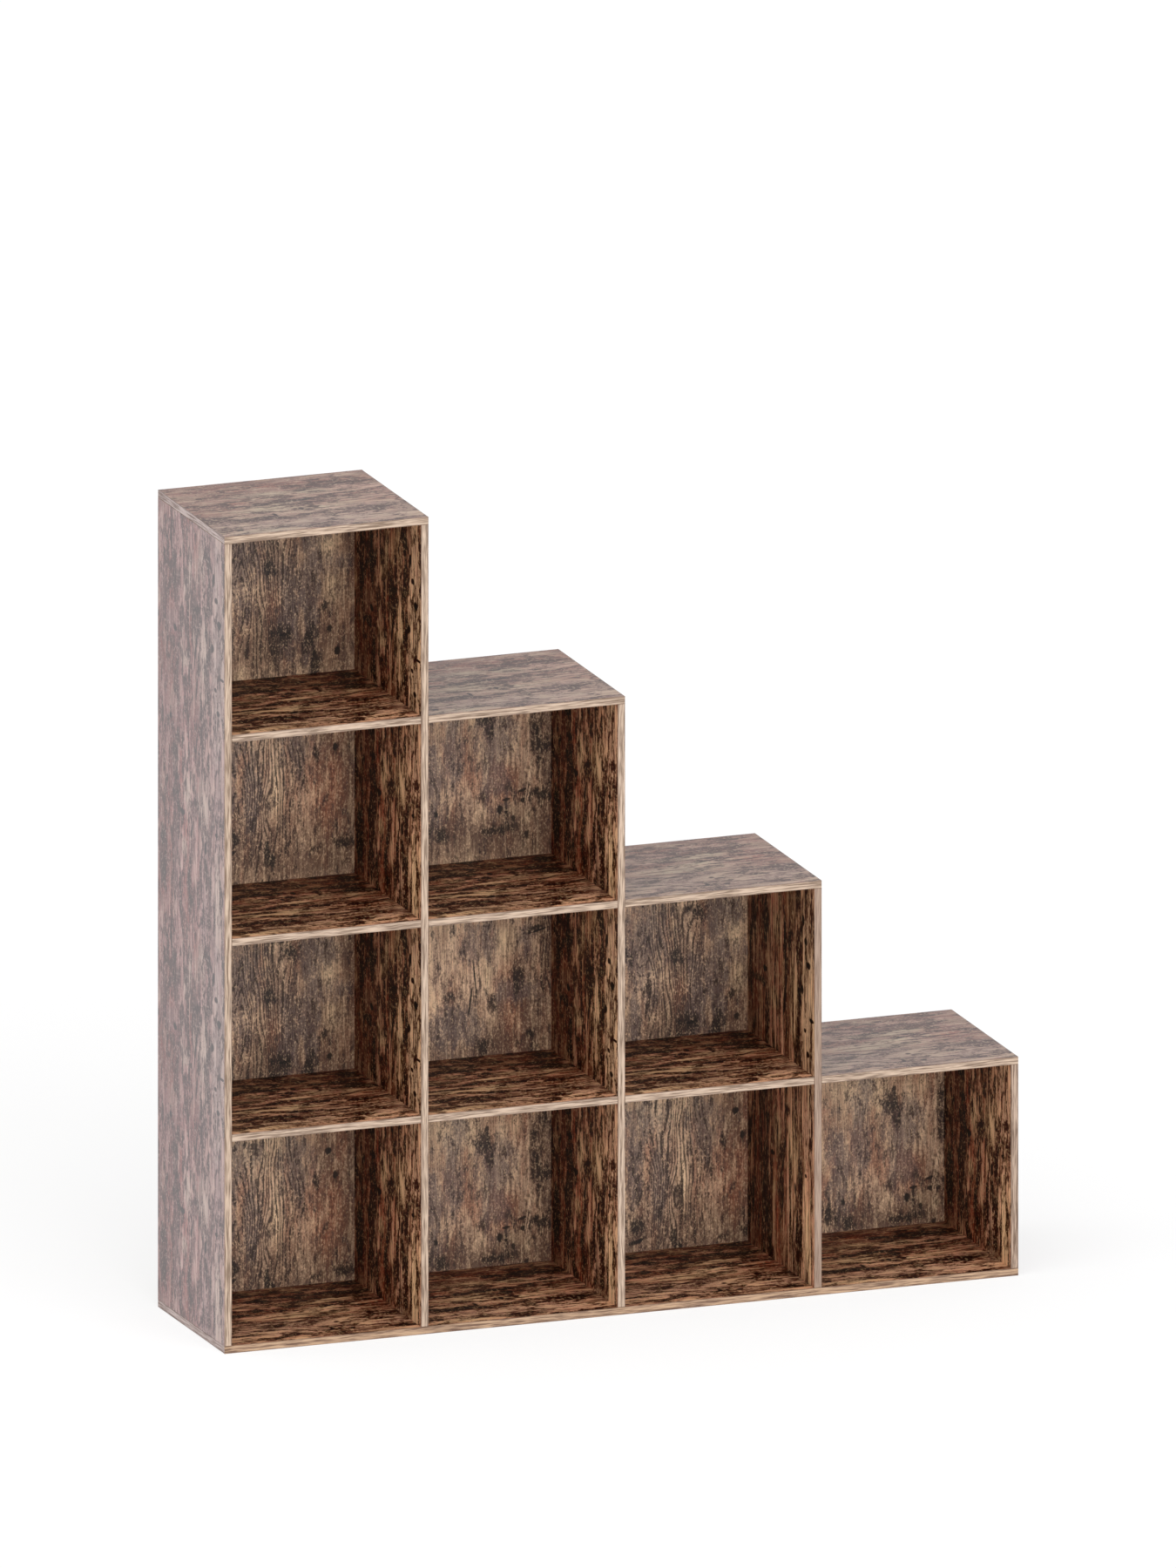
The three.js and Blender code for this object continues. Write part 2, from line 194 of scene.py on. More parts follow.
SHELF_MARKS = {
    # Painted light: paler near the board's front edge
    "painted_front_light": ((60, 150, 55, 400),),
    # Darker bands of the print, and painted shade towards the board's rear edge
    "printed_and_painted_shade": (
        (224, 120, 14, 130), (226, 270, 14, 70), (272, 150, 28, 300), (195, 285, 14, 40),
        (140, 150, 8, 60), (64, 110, 8, 90), (62, 230, 7, 50), (125, 280, 6, 50), (215, 200, 8, 40),
    ),
    "rust": (
        (200, 60, 14, 40), (245, 240, 10, 40), (160, 250, 8, 40), (215, 190, 6, 20), (110, 260, 10, 40),
        (265, 90, 9, 40),
    ),
    "pale": (
        (190, 110, 8, 14), (180, 205, 12, 22), (175, 260, 10, 14), (112, 140, 10, 40), (238, 120, 10, 22),
        (155, 165, 8, 20), (110, 80, 10, 30), (20, 60, 12, 50), (165, 75, 8, 24), (250, 200, 8, 14),
    ),
    "grey": ((75, 200, 16, 60), (40, 120, 16, 60), (60, 270, 16, 40)),
    "dark": (
        (218, 115, 9, 42), (240, 158, 14, 9), (192, 165, 9, 6), (205, 216, 13, 7), (195, 284, 18, 22),
        (226, 250, 7, 32), (146, 132, 5, 24), (132, 182, 5, 26), (124, 165, 8, 6), (145, 80, 4, 12),
        (122, 243, 5, 11), (68, 80, 8, 38), (62, 210, 4, 11), (21, 216, 9, 10), (100, 58, 5, 22),
        (268, 170, 14, 12), (215, 30, 9, 30), (268, 280, 10, 20),
    ),
    "knot": (
        (86, 132, 3, 10), (129, 286, 2.4, 24, -18), (138, 110, 2, 22, -10), (146, 215, 1.8, 16),
        (30, 290, 3, 6), (212, 178, 5, 4), (182, 150, 4, 3),
    ),
}
BACK_MARKS = {
    # Painted shade: each cubby's back panel darker at its bottom and along its right side
    "painted_cubby_shade": (
        (200, 0, 160, 50), (530, 0, 160, 50), (200, 343, 160, 50), (530, 343, 160, 50),
        (325, 170, 26, 260), (325, 510, 26, 260), (655, 170, 24, 260), (655, 510, 24, 260),
    ),
    # Darker patches of the print, and painted shade near the bottom and right of each cubby's back
    "printed_and_painted_shade": (
        (225, 380, 34, 40), (190, 470, 14, 50), (270, 180, 12, 60), (620, 180, 14, 60), (460, 30, 30, 20),
        (560, 20, 60, 16), (290, 20, 30, 16), (540, 350, 30, 20), (600, 430, 16, 60), (240, 520, 16, 50),
        (120, 60, 30, 40), (480, 420, 14, 30),
    ),
    "rust": (
        (560, 110, 14, 20), (580, 400, 14, 60), (190, 400, 10, 30), (585, 250, 12, 30),
        (520, 300, 12, 40), (280, 120, 20, 50), (300, 230, 10, 30), (560, 75, 20, 10),
    ),
    "pale": (
        # The first eight marks are painted light at the top of each cubby's back; the rest are paler patches
        # of the print
        (160, 270, 60, 50), (150, 610, 60, 50), (490, 610, 60, 50), (480, 270, 60, 50),
        (250, 300, 30, 20), (260, 640, 30, 20), (580, 300, 30, 20), (590, 640, 30, 20), (536, 476, 5, 20),
        (515, 385, 8, 34), (510, 225, 6, 34), (572, 44, 13, 18), (188, 320, 6, 9), (165, 350, 9, 40),
        (565, 525, 14, 20), (178, 532, 7, 26), (582, 235, 8, 14), (192, 110, 9, 30), (275, 500, 12, 20),
        (280, 435, 14, 18), (600, 40, 8, 10),
    ),
    "grey": (
        (246, 460, 14, 85), (214, 400, 12, 50), (112, 380, 9, 34), (290, 472, 14, 14), (225, 205, 20, 34),
        (128, 215, 24, 22), (112, 160, 12, 50), (478, 160, 12, 44), (488, 236, 8, 22), (545, 165, 24, 34),
        (548, 120, 16, 40), (512, 528, 12, 26), (535, 522, 14, 22), (480, 395, 30, 24),
        (575, 445, 26, 12), (600, 520, 8, 20), (448, 110, 14, 50), (270, 535, 18, 18), (150, 120, 10, 40),
        (130, 500, 26, 60),
    ),
    "dark": (
        (207, 364, 10, 12), (247, 357, 9, 16), (255, 318, 6, 20), (187, 347, 7, 22), (181, 476, 6, 16),
        (300, 28, 13, 9), (256, 22, 7, 7), (258, 172, 4, 12), (621, 162, 10, 24), (612, 200, 7, 22),
        (627, 232, 8, 16), (535, 218, 12, 30), (430, 40, 9, 14), (556, 24, 26, 6), (600, 12, 10, 8),
        (618, 74, 18, 9), (530, 358, 9, 12), (541, 430, 6, 18), (583, 470, 9, 16), (603, 374, 6, 6),
        (615, 350, 8, 9), (474, 443, 7, 7), (112, 52, 14, 14), (176, 28, 4, 12), (187, 8, 9, 10),
        (268, 403, 5, 8), (218, 540, 9, 12), (460, 24, 10, 10), (610, 538, 12, 4, 20),
    ),
    "knot": (
        (279, 369, 5, 6), (291, 332, 5, 6), (276, 220, 5, 6), (288, 181, 4, 7), (115, 27, 12, 4, 12),
        (593, 67, 4, 5), (592, 83, 7, 2.4, 14), (566, 71, 7, 2, 8), (205, 366, 8, 2.6, 10),
        (515, 470, 1.4, 26, 6), (508, 435, 1.4, 22, -8), (556, 56, 4, 6), (578, 40, 3, 5),
        (452, 58, 3, 6), (618, 535, 16, 1.6, 14), (388, 300, 4, 5),
    ),
    "ringed": ((172, 460, 38, 160), (172, 150, 40, 130), (616, 74, 26, 14), (630, 520, 10, 60)),
}

# Noise of the prints: feature size in mm across the grain and along it, detail and roughness
BOARD_GRAIN = {
    "cloud": (80, 240, 2, 0.5),
    "zone": (36, 150, 3, 0.6),
    "patch": (22, 62, 4, 0.62),
    "smear": (12, 34, 5, 0.68),
    "streak": (8.4, 100, 3, 0.62),
    "crack": (34, 130, 3, 0.6),
    "line": (3.9, 48, 2, 0.6),
    "fleck": (4.2, 4.8, 2, 0.7),
    "rings": (60, 300, 1, 0.4),
}
STRIPE_NARROWER, STRIPE_LONGER = 1.5, 1.8
STRIPED_GRAIN = {layer: (across / STRIPE_NARROWER, along * STRIPE_LONGER, *rest)
                 for layer, (across, along, *rest) in BOARD_GRAIN.items()}
BACK_GRAIN = {
    "cloud": (40, 120, 2, 0.5),
    "zone": (20, 90, 3, 0.6),
    "patch": (16, 44, 4, 0.62),
    "smear": (8, 26, 5, 0.68),
    "streak": (4.4, 80, 3, 0.6),
    "crack": (30, 110, 3, 0.6),
    "line": (2.0, 36, 2, 0.6),
    "fleck": (2.4, 3.9, 2, 0.7),
    "rings": (44, 170, 1, 0.4),
}
LAYERS_APART = 5.3  # keeps one layer's noise clear of the next one's
RING_WIDTH = 7.0  # mm from one growth ring to the next, before they are bent
RING_BEND = 18.0  # how many rings the noise bends them by
RING_LINE = (0.26, 0.08)  # where between two rings a ring's line starts and is full
# Where the rings start and are full, and their share: in the marks made for them, or else in the clouds
RINGED = {"ringed": (0.30, 0.50, 1.0), "cloud": (0.50, 0.60, 0.7)}
CRACK_MIDDLE = 0.5  # a crack is the thin line where its noise crosses this value
CRACK_BREAKS = (0.40, 0.60, 0.03, -0.02)  # it is broken where the smears are thin
WORN_PATCHES = 0.9  # share of the patches in the worn specks
TEAR = {"patch": 1.6, "smear": 2.0, "fleck": 1.0}  # how far the noises pull a mark's edge about
KNOT_TEAR = 0.35  # a knot keeps more of its shape
MARK_REACH = 2.2  # a mark is felt this many times as far as its half width
LINES_IN_RELIEF = 0.6  # share of the grain's lines in its relief

# Inks, one over the other: the layer that places it, where it starts and is full, its share and its colour
BOARD_PAPER = "#dc9978"
BOARD_INKS = (
    ("cloud", 0.45, 0.58, 0.40, "#80432d"),
    ("zone", 0.49, 0.58, 0.52, "#983922"),
    ("rust", 0.15, 0.60, 0.70, "#9a3a1e"),
    ("patch", 0.49, 0.40, 0.50, "#cfab7c"),
    # Painted light: a paler tan near each board's front edge
    ("painted_front_light", 0.05, 0.70, 0.45, "#e0b388"),
    ("pale", 0.20, 0.60, 0.75, "#dfba88"),
    ("patch", 0.51, 0.61, 0.50, "#552c1e"),
    ("streak", 0.51, 0.57, 0.68, "#401c0e"),
    ("streak", 0.46, 0.38, 0.45, "#dcae80"),
    ("grey", 0.15, 0.60, 0.40, "#846c5c"),
    # Darker bands of the print, and painted shade towards each board's rear edge
    ("printed_and_painted_shade", 0.05, 0.60, 0.66, "#3a1a10"),
    ("smear", 0.53, 0.60, 0.86, "#291007"),
    ("line", 0.52, 0.58, 0.68, "#38190e"),
    ("line", 0.46, 0.38, 0.40, "#cca074"),
    ("crack", 0.042, 0.018, 0.88, "#190a04"),
    ("ring", 0, 1, 0.50, "#3d2218"),
    ("dark", 0.34, 0.60, 0.92, "#1c0b05"),
    ("worn", 1.03, 1.12, 0.70, "#220e06"),
    ("fleck", 0.45, 0.35, 0.45, "#ccac80"),
    ("knot", 0.45, 0.60, 0.97, "#090503"),
)
BACK_PAPER = "#b8977a"
BACK_INKS = (
    ("cloud", 0.44, 0.58, 0.55, "#7c573f"),
    ("zone", 0.50, 0.62, 0.45, "#935a40"),
    ("rust", 0.15, 0.60, 0.60, "#955338"),
    ("patch", 0.49, 0.38, 0.35, "#cbaa86"),
    # Paler patches of the print, and painted light at the top of each cubby's back
    ("pale", 0.15, 0.70, 0.55, "#dcbc94"),
    # Painted shade at the bottom and right of each cubby's back
    ("painted_cubby_shade", 0.00, 0.80, 0.64, "#4c3427"),
    # Darker patches of the print, and painted shade near the bottom and right of each cubby's back
    ("printed_and_painted_shade", 0.10, 0.70, 0.50, "#553d30"),
    ("patch", 0.51, 0.64, 0.30, "#6f5040"),
    ("streak", 0.51, 0.62, 0.40, "#5e4335"),
    ("streak", 0.46, 0.34, 0.35, "#d6b48e"),
    ("grey", 0.10, 0.60, 0.55, "#5c5350"),
    ("smear", 0.54, 0.68, 0.32, "#4a3426"),
    ("line", 0.51, 0.60, 0.50, "#523b2e"),
    ("crack", 0.012, 0.004, 0.50, "#2e1f18"),
    ("ring", 0, 1, 0.85, "#2e1d15"),
    ("dark", 0.30, 0.78, 0.85, "#1e140f"),
    ("worn", 1.12, 1.20, 0.40, "#2c1e16"),
    ("fleck", 0.52, 0.64, 0.40, "#503a2e"),
    ("fleck", 0.46, 0.32, 0.45, "#d2b08a"),
    ("knot", 0.47, 0.66, 0.88, "#160c07"),
)
# The outer faces' print has thinner dark inks, painted sheen that lowers its contrast: each layer's share is
# multiplied by this
PAINTED_SHEEN_THINNING = {"smear": 0.6, "streak": 0.75, "printed_and_painted_shade": 0.7, "dark": 0.7, "patch": 0.8}
PAINTED_SHEEN_INKS = tuple((layer, start, full, share * PAINTED_SHEEN_THINNING.get(layer, 1), ink)
                  for layer, start, full, share, ink in BOARD_INKS)
# Tone of each print: what is taken off its red, green and blue, the powers that they are raised to, and their
# gain. Inside the cubbies the darks are red brown. On the sides and tops the same foil is made paler and
# cooler:
# painted sheen, the bright studio's reflection laid into its colour.
TONES = {
    "inner_tone": ((0.010, 0.018, 0.015), (1, 1, 1), (1.15, 1.20, 1.32)),
    "side": ((0, 0, 0), (0.72, 0.84, 0.80), (0.56, 0.645, 0.90)),
    "top": ((0, 0, 0), (0.60, 0.68, 0.64), (0.60, 0.67, 0.72)),
    "back": ((0, 0, 0), (1.25, 1.30, 1.32), (1.54, 1.86, 2.28)),
}

# Finishes
RELIEF = 0.5  # strength of each finish's relief, whose depth is given apart
PRINT_RELIEF = (0.5, 1.1)  # reach of the print's relief, and what it adds to the roughness from end to end
PRINT_ROUGHER = (0.06, -0.05)
RESIN_ROUGHNESS = 0.35
FINE_GRAIN, FINE_SHARE = 6.0, 0.6  # a two-tone finish has a second grain, this many times finer
TWO_TONE_REACH = (0.65, 0.95)
TWO_TONE_GRAIN = (0.3, 0.7)
TWO_TONE_ROUGHER = (-0.06, 0.08)
EDGING_GRAIN = ((1.6, 34), (3.8, 100))  # mm across and along
EDGING_LINES = (0.88, 1.14)
EDGING_REACH = (0.8, 1.2)
EDGING_ROUGHNESS = (0.46, 0.60)
EDGING_RELIEF = 0.03 * MM
SCORCH_STARTS, SCORCH_FULL, SCORCH_SHARE = 1.6 * MM, 0.4 * MM, 0.65  # from a band's edge inwards


# Materials

def linear(colour):
    """An sRGB hex colour as linear RGBA."""
    channels = [int(colour[i:i + 2], 16) / 255 for i in (1, 3, 5)]
    return [c / 12.92 if c <= 0.04045 else ((c + 0.055) / 1.055) ** 2.4 for c in channels] + [1.0]


def feed(tree, socket, value):
    """Sets a socket, or links it to an output or to the first output in use of a node."""
    if isinstance(value, bpy.types.Node):
        value = next(output for output in value.outputs if output.enabled)
    if isinstance(value, bpy.types.NodeSocket):
        tree.links.new(value, socket)
    else:
        socket.default_value = value


def add(tree, kind, settings, *values, **named):
    """Adds a node. Each value goes to the next open socket, or to the one that it is named for."""
    node = tree.nodes.new(kind)
    for name, value in settings.items():
        setattr(node, name, value)
    sockets = [socket for socket in node.inputs if socket.enabled]
    by_name = {socket.name.replace(" ", "_"): socket for socket in reversed(sockets)}
    for socket, value in zip(sockets, values):
        feed(tree, socket, value)
    for name, value in named.items():
        feed(tree, by_name[name], value)
    return node


def nearest_mark(tree, place, marks, length):
    """How near a place is to a mark: 1 in the middle of one, falling to 0 at MARK_REACH times its half width.

    length is the sheet's. A mark that reaches over its end goes on at its start.
    """
    nearest = 0.0
    for across, along, half_width, half_length, *tilt in marks:
        reach = (half_width * MARK_REACH, half_length * MARK_REACH)
        for middle in (along - length, along, along + length):
            if not -reach[1] < middle < length + reach[1]:
                continue
            turn = math.radians(tilt[0] if tilt else 0)
            local = add(tree, "ShaderNodeMapping", {"vector_type": "TEXTURE"}, place,
                        (across * MM, middle * MM, 0), (0, 0, turn), (reach[0] * MM, reach[1] * MM, 1))
            near = add(tree, "ShaderNodeTexGradient", {"gradient_type": "SPHERICAL"}, local).outputs["Fac"]
            nearest = add(tree, "ShaderNodeMath", {"operation": "MAXIMUM"}, near, nearest)
    return nearest


def wood_print(name, repeat, grain, marks, paper, inks):
    """A printed decor, as a node group: weathered planks with smudges, streaks, flecks, cracks and knots."""
    tree = bpy.data.node_groups.new(name, "ShaderNodeTree")
    tree.interface.new_socket("Place", in_out="INPUT", socket_type="NodeSocketVector")
    tree.interface.new_socket("Color", in_out="OUTPUT", socket_type="NodeSocketColor")
    tree.interface.new_socket("Relief", in_out="OUTPUT", socket_type="NodeSocketFloat")
    place = add(tree, "NodeGroupInput", {})
    on_sheet = add(tree, "ShaderNodeVectorMath", {"operation": "WRAP"}, place,
                   (repeat[0] * MM, repeat[1] * MM, 1), (0, 0, -1))

    # The noise lies on a ring round each way of the sheet, so it repeats with the sheet and shows no seam
    ways = add(tree, "ShaderNodeSeparateXYZ", {}, place).outputs
    rings = []
    for way, length in zip(ways, repeat):
        turn = add(tree, "ShaderNodeMath", {"operation": "MULTIPLY"}, way, 2 * math.pi / (length * MM))
        for operation in ("COSINE", "SINE"):
            circle = add(tree, "ShaderNodeMath", {"operation": operation}, turn)
            radius = length * MM / (2 * math.pi)
            rings.append(add(tree, "ShaderNodeMath", {"operation": "MULTIPLY"}, circle, radius))
    ring_place = add(tree, "ShaderNodeCombineXYZ", {}, *rings[:3])
    field = {}
    for seed, (layer, (across, along, detail, roughness)) in enumerate(grain.items()):
        scale = [1 / (size * MM) for size in (across, across, along)]
        spread = add(tree, "ShaderNodeVectorMath", {"operation": "MULTIPLY"}, ring_place, scale)
        fourth = add(tree, "ShaderNodeMath", {"operation": "MULTIPLY_ADD"}, rings[3], scale[2],
                     LAYERS_APART * seed)
        field[layer] = add(tree, "ShaderNodeTexNoise", {"noise_dimensions": "4D"}, spread, fourth, 1, detail,
                           roughness)
    off_line = add(tree, "ShaderNodeMath", {"operation": "SUBTRACT"}, field["crack"], CRACK_MIDDLE)
    off_line = add(tree, "ShaderNodeMath", {"operation": "ABSOLUTE"}, off_line)
    broken = add(tree, "ShaderNodeMapRange", {"clamp": False}, field["smear"], *CRACK_BREAKS)
    field["crack"] = add(tree, "ShaderNodeMath", {"operation": "ADD"}, off_line, broken)
    field["worn"] = add(tree, "ShaderNodeMath", {"operation": "MULTIPLY_ADD"}, field["patch"], WORN_PATCHES,
                        field["fleck"])

    # Marks have torn edges
    tear = -sum(TEAR.values()) / 2
    for layer, pull in TEAR.items():
        tear = add(tree, "ShaderNodeMath", {"operation": "MULTIPLY_ADD"}, field[layer], pull, tear)
    # Some marks lay painted light and shade into the print: paler near each board's front edge, darker
    # towards its rear edge, and on the back panels darker at each cubby's bottom and right and paler at its
    # top
    for layer, places in marks.items():
        near = nearest_mark(tree, on_sheet, places, repeat[1])
        torn = KNOT_TEAR if layer == "knot" else 1.0
        field[layer] = add(tree, "ShaderNodeMath", {"operation": "MULTIPLY_ADD"}, tear, torn, near)

    # Growth rings run along the grain, bent by a noise
    turns = add(tree, "ShaderNodeMath", {"operation": "MULTIPLY"}, ways[0], 1 / (RING_WIDTH * MM))
    turns = add(tree, "ShaderNodeMath", {"operation": "MULTIPLY_ADD"}, field["rings"], RING_BEND, turns)
    turns = add(tree, "ShaderNodeMath", {"operation": "ADD"}, field["smear"], turns)
    ridge = add(tree, "ShaderNodeMath", {"operation": "PINGPONG"}, turns, 0.5)
    ring = add(tree, "ShaderNodeMapRange", {"interpolation_type": "SMOOTHSTEP"}, ridge, *RING_LINE, 0, 1)
    ringed = "ringed" if "ringed" in marks else "cloud"
    start, full, share = RINGED[ringed]
    inside = add(tree, "ShaderNodeMapRange", {}, field[ringed], start, full, 0, share)
    field["ring"] = add(tree, "ShaderNodeMath", {"operation": "MULTIPLY"}, ring, inside)

    colour = linear(paper)
    for layer, start, full, share, ink in inks:
        if layer in field:
            amount = add(tree, "ShaderNodeMapRange", {}, field[layer], start, full, 0, share)
            colour = add(tree, "ShaderNodeMix", {"data_type": "RGBA"}, amount, colour, linear(ink))
    relief = add(tree, "ShaderNodeMath", {"operation": "MULTIPLY_ADD"}, field["line"], LINES_IN_RELIEF,
                 field["fleck"])
    add(tree, "NodeGroupOutput", {}, colour, relief)
    return tree


def finish(name, make):
    """A material. make adds nodes to its tree and gives the value or the output for each shader socket."""
    material = bpy.data.materials.new(name)
    material.use_nodes = True
    tree = material.node_tree
    for socket, value in make(tree).items():
        feed(tree, tree.nodes["Principled BSDF"].inputs[socket], value)
    return material


def printed_surface(name, decor, tone, relief_depth=0.05 * MM, roughness=0.42, gloss=0.08, resin=0.0):
    """Print paper under a satin or matt lacquer. The grain is pressed in a little, so the gloss breaks up."""
    taken, powers, gain = TONES[tone]

    def make(tree):
        place = add(tree, "ShaderNodeUVMap", {"uv_map": PRINT_MAP})
        print_nodes = add(tree, "ShaderNodeGroup", {"node_tree": decor}, place)
        colour, grain = print_nodes.outputs["Color"], print_nodes.outputs["Relief"]
        for operation, amounts in (("SUBTRACT", taken), ("MAXIMUM", (0, 0, 0)), ("POWER", powers),
                                   ("MULTIPLY", gain)):
            colour = add(tree, "ShaderNodeVectorMath", {"operation": operation}, colour, amounts)
        rougher = [roughness + more for more in PRINT_ROUGHER]
        return {
            "Base Color": colour,
            "Roughness": add(tree, "ShaderNodeMapRange", {}, grain, *PRINT_RELIEF, *rougher),
            "Normal": add(tree, "ShaderNodeBump", {}, Strength=RELIEF, Distance=relief_depth, Height=grain),
            "Specular IOR Level": gloss,
            "Coat Weight": resin,
            "Coat Roughness": RESIN_ROUGHNESS,
        }

    return finish(name, make)


def two_tone(name, sizes, light, dark, roughness, relief_depth, metallic=0.0):
    """A fine-grained finish: two tones by a noise of a real size in mm, with the same noise in its relief."""

    def make(tree):
        place = add(tree, "ShaderNodeTexCoord", {}).outputs["Object"]
        grains = []
        for finer in (1.0, FINE_GRAIN):
            stretch = [finer / (size * MM) for size in sizes]
            stretched = add(tree, "ShaderNodeVectorMath", {"operation": "MULTIPLY"}, place, stretch)
            grains.append(add(tree, "ShaderNodeTexNoise", {}, stretched, Scale=1, Detail=3, Roughness=0.6))
        both = add(tree, "ShaderNodeMath", {"operation": "MULTIPLY_ADD"}, grains[1], FINE_SHARE, grains[0])
        tone = add(tree, "ShaderNodeMapRange", {}, both, *TWO_TONE_REACH, 0, 1)
        colour = add(tree, "ShaderNodeMix", {"data_type": "RGBA"}, tone, linear(light), linear(dark))
        rougher = [roughness + more for more in TWO_TONE_ROUGHER]
        return {
            "Base Color": colour,
            "Roughness": add(tree, "ShaderNodeMapRange", {}, grains[0], *TWO_TONE_GRAIN, *rougher),
            "Normal": add(tree, "ShaderNodeBump", {}, Strength=RELIEF, Distance=relief_depth, Height=both),
            "Metallic": metallic,
        }

    return finish(name, make)


def edging_paper(name, paper, lines, rim):
    """Edging with its grain along its length. u runs across the board's thickness, from 0."""

    def make(tree):
        place = add(tree, "ShaderNodeUVMap", {"uv_map": PRINT_MAP})
        grains = []
        for size in EDGING_GRAIN:
            stretch = (1 / (size[0] * MM), 1 / (size[1] * MM), 1)
            stretched = add(tree, "ShaderNodeVectorMath", {"operation": "MULTIPLY"}, place, stretch)
            grains.append(add(tree, "ShaderNodeTexNoise", {}, stretched, Scale=1, Detail=2, Roughness=0.6))
        both = add(tree, "ShaderNodeMath", {"operation": "ADD"}, *grains)
        tone = add(tree, "ShaderNodeMapRange", {}, both, *EDGING_LINES, 0, 1)
        colour = add(tree, "ShaderNodeMix", {"data_type": "RGBA"}, tone, linear(paper), linear(lines))
        across = add(tree, "ShaderNodeSeparateXYZ", {}, place).outputs["X"]
        off_middle = add(tree, "ShaderNodeMath", {"operation": "SUBTRACT"}, across, BAND_WIDTH / 2)
        off_middle = add(tree, "ShaderNodeMath", {"operation": "ABSOLUTE"}, off_middle)
        scorched = add(tree, "ShaderNodeMapRange", {}, off_middle, BAND_WIDTH / 2 - SCORCH_STARTS,
                       BAND_WIDTH / 2 - SCORCH_FULL, 0, SCORCH_SHARE)
        return {
            "Base Color": add(tree, "ShaderNodeMix", {"data_type": "RGBA"}, scorched, colour, linear(rim)),
            "Roughness": add(tree, "ShaderNodeMapRange", {}, both, *EDGING_REACH, *EDGING_ROUGHNESS),
            "Normal": add(tree, "ShaderNodeBump", {}, Strength=RELIEF, Distance=EDGING_RELIEF, Height=both),
        }

    return finish(name, make)


def board_print(name, repeat, marks, grain=BOARD_GRAIN, inks=BOARD_INKS):
    return wood_print(name, repeat, grain, marks, BOARD_PAPER, inks)


upright_print = board_print("upright_print", UPRIGHT_REPEAT, UPRIGHT_MARKS)
striped_print = board_print("striped_print", UPRIGHT_REPEAT, UPRIGHT_MARKS, grain=STRIPED_GRAIN)
# The outer faces' copies of the print, with painted sheen: thinner dark inks
side_print = board_print("side_print", UPRIGHT_REPEAT, UPRIGHT_MARKS, inks=PAINTED_SHEEN_INKS)
base_print = board_print("base_print", BASE_REPEAT, BASE_MARKS)
top_print = board_print("top_print", BASE_REPEAT, BASE_MARKS, inks=PAINTED_SHEEN_INKS)
shelf_print = board_print("shelf_print", SHELF_REPEAT, SHELF_MARKS)
back_print = wood_print("back_print", BACK_REPEAT, BACK_GRAIN, BACK_MARKS, BACK_PAPER, BACK_INKS)

# Melamine foil pressed on particleboard: satin, so a slanting look at it in a bright room veils the print
foil = {
    "upright": printed_surface("melamine_foil_uprights", upright_print, "inner_tone"),
    "striped": printed_surface("melamine_foil_striped", striped_print, "inner_tone"),
    "base": printed_surface("melamine_foil_base", base_print, "inner_tone"),
    "shelf": printed_surface("melamine_foil_shelves", shelf_print, "inner_tone"),
    # The outer faces have a calmer, paler and cooler print, which is painted sheen, and the sides a glossier
    # resin over it that veils it more
    "side": printed_surface("melamine_foil_outer_sides", side_print, "side", 0.04 * MM, gloss=0.5, resin=0.5),
    "top": printed_surface("melamine_foil_tops", top_print, "top", 0.04 * MM, gloss=0.4),
}
# Hardboard printed and lacquered in one pass: a soft gloss that mirrors the studio near each panel's top left
printed_hardboard = printed_surface("printed_hardboard_lacquered", back_print, "back", 0.04 * MM,
                                    roughness=0.44, gloss=0.5)
# Edging paper with a pale grain print, ironed on: fine lines along its length, and a darker scorched rim
edge_foil = {
    "pale": edging_paper("edging_paper_pale", "#b8a18d", "#75604f", "#6d5545"),
    "tan": edging_paper("edging_paper_tan", "#ae8f72", "#634837", "#5f4535"),
    "plain": edging_paper("edging_paper_plain", "#97806f", "#7a6354", "#6d5545"),
    "dull": edging_paper("edging_paper_dull", "#a8917f", "#67503f", "#5d493c"),
    "end": edging_paper("edging_paper_ends", "#b3a29d", "#75625b", "#66544d"),
}
# Particleboard sawn and drilled: bare pressed flakes, matt and rough
raw_board = two_tone("particleboard_sawn", (4, 4, 4), "#b8976d", "#7d5f41", 0.9, 0.25 * MM)
# Hardboard as it leaves the press: a brown fibre felt, matt
raw_hardboard = two_tone("hardboard_pressed", (7, 7, 7), "#8c6d4e", "#664b34", 0.85, 0.1 * MM)
# Turned beech dowels: pale, with short darker flecks
beech = two_tone("beech_turned", (1.5, 1.5, 9), "#d4b48a", "#b08c62", 0.7, 0.05 * MM)
# Polystyrene caps, moulded: an even brown with a faint haze
cap_plastic = two_tone("polystyrene_moulded", (5, 5, 5), "#6e5240", "#5d4435", 0.4, 0.01 * MM)
# Zinc alloy, die-cast: grey, with a slightly sandy skin
die_cast_zinc = two_tone("zinc_alloy_die_cast", (1.2, 1.2, 1.2), "#b4b5b8", "#8f9196", 0.42, 0.02 * MM,
                         metallic=1.0)
# Steel, zinc plated: bright, with a faint bluish to yellowish bloom
plated_steel = two_tone("steel_zinc_plated", (2.5, 2.5, 2.5), "#c9ccd0", "#aaa79c", 0.28, 0.01 * MM,
                        metallic=1.0)


# Pieces

def new_piece(name, mesh, materials, replaced=None):
    """Makes a piece of a finished mesh. replaced is the CAD node that it stands for."""
    data = bpy.data.meshes.new(name)
    mesh.to_mesh(data)
    mesh.free()
    for material in materials:
        data.materials.append(material)
    piece = bpy.data.objects.new(name, data)
    bpy.context.scene.collection.objects.link(piece)
    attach(piece, "root")
    if replaced:
        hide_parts(replaced)
    return piece


